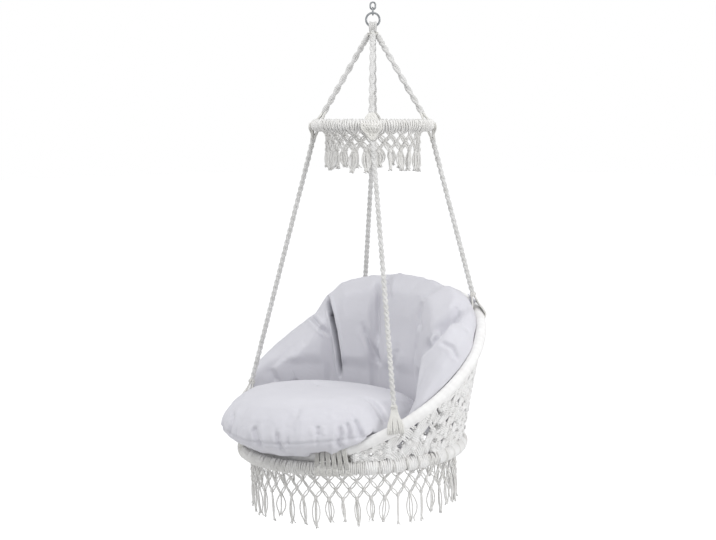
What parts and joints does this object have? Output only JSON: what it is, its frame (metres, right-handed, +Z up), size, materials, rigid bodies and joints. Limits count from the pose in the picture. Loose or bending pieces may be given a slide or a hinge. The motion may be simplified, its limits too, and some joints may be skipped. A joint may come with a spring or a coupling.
{
  "type": "hanging hammock chair",
  "caption": "Hanging macrame hammock chair: cord-wrapped steel hoops, knotted net and fringes, ropes to a ring, seat cushion and channelled back cushion.",
  "frame": {"origin": "point inside the top link where the hook carries the chair", "axes": "+Z up, -Y the open front that a person sits down through, +X to the right seen from the front"},
  "size_m": [0.803, 0.7854, 1.4949],
  "materials": {
    "zinc_steel": "bright zinc, slightly dulled",
    "tube_steel": "plain tube, hidden under the cord",
    "cotton_cord": "off-white twisted cotton cord",
    "cushion_cloth": "plain matt woven cloth, cool off-white"
  },
  "bodies": {
    "top_link": {"top_link": "zinc_steel"},
    "lower_link": {"lower_link": "zinc_steel"},
    "hanging_ring": {"hanging_ring": "zinc_steel"},
    "chair": {"upper_hoop_tube": "tube_steel", "back_hoop_tube": "tube_steel", "seat_hoop_tube": "tube_steel", "crown_saddle": "cotton_cord", "gathering_wrap": "cotton_cord", "upper_rope_front_right": "cotton_cord", "lower_rope_front_right": "cotton_cord", "upper_hitch_front_right": "cotton_cord", "back_hitch_front_right": "cotton_cord", "upper_rope_front_left": "cotton_cord", "lower_rope_front_left": "cotton_cord", "upper_hitch_front_left": "cotton_cord", "back_hitch_front_left": "cotton_cord", "upper_rope_back_right": "cotton_cord", "lower_rope_back_right": "cotton_cord", "upper_hitch_back_right": "cotton_cord", "back_hitch_back_right": "cotton_cord", "upper_rope_back_left": "cotton_cord", "lower_rope_back_left": "cotton_cord", "upper_hitch_back_left": "cotton_cord", "back_hitch_back_left": "cotton_cord", "upper_hoop_wrap_front": "cotton_cord", "upper_hoop_wrap_right": "cotton_cord", "upper_hoop_wrap_rear": "cotton_cord", "upper_hoop_wrap_left": "cotton_cord", "back_hoop_wrap_front": "cotton_cord", "back_hoop_wrap_right": "cotton_cord", "back_hoop_wrap_rear": "cotton_cord", "back_hoop_wrap_left": "cotton_cord", "seat_hoop_wrap_right": "cotton_cord", "seat_hoop_wrap_left": "cotton_cord", "canopy_fringe_front": "cotton_cord", "canopy_fringe_right": "cotton_cord", "canopy_fringe_rear": "cotton_cord", "canopy_fringe_left": "cotton_cord", "skirt_fringe_front": "cotton_cord", "skirt_fringe_front_right": "cotton_cord", "skirt_fringe_back_right": "cotton_cord", "skirt_fringe_rear": "cotton_cord", "skirt_fringe_back_left": "cotton_cord", "skirt_fringe_front_left": "cotton_cord", "front_lashing_right": "cotton_cord", "front_lashing_left": "cotton_cord", "seat_net": "cotton_cord", "back_net_front_right": "cotton_cord", "back_net_front_left": "cotton_cord", "back_net_middle_right": "cotton_cord", "back_net_middle_left": "cotton_cord", "back_net_rear_right": "cotton_cord", "back_net_rear_left": "cotton_cord", "back_cushion": "cushion_cloth", "cushion_tie_right": "cushion_cloth", "cushion_tie_left": "cushion_cloth"},
    "seat_cushion": {"seat_cushion": "cushion_cloth"}
  },
  "joints": [
    {"name": "link_twist", "type": "hinge", "parent": "top_link", "child": "lower_link", "pos_m": [0, 0, -0.0158], "axis": [0, 0, 1], "range_deg": [-25, 25]},
    {"name": "ring_swing", "type": "hinge", "parent": "lower_link", "child": "hanging_ring", "pos_m": [0, 0, -0.0342], "axis": [0.7071, -0.7071, 0], "range_deg": [-30, 30]},
    {"name": "chair_swing", "type": "hinge", "parent": "hanging_ring", "child": "chair", "pos_m": [0, 0, -0.0684], "axis": [0.7071, 0.7071, 0], "range_deg": [-30, 30]},
    {"name": "seat_cushion_lift", "type": "slide", "parent": "chair", "child": "seat_cushion", "axis": [0, 0, 1], "range_m": [0, 0.09]}
  ]
}
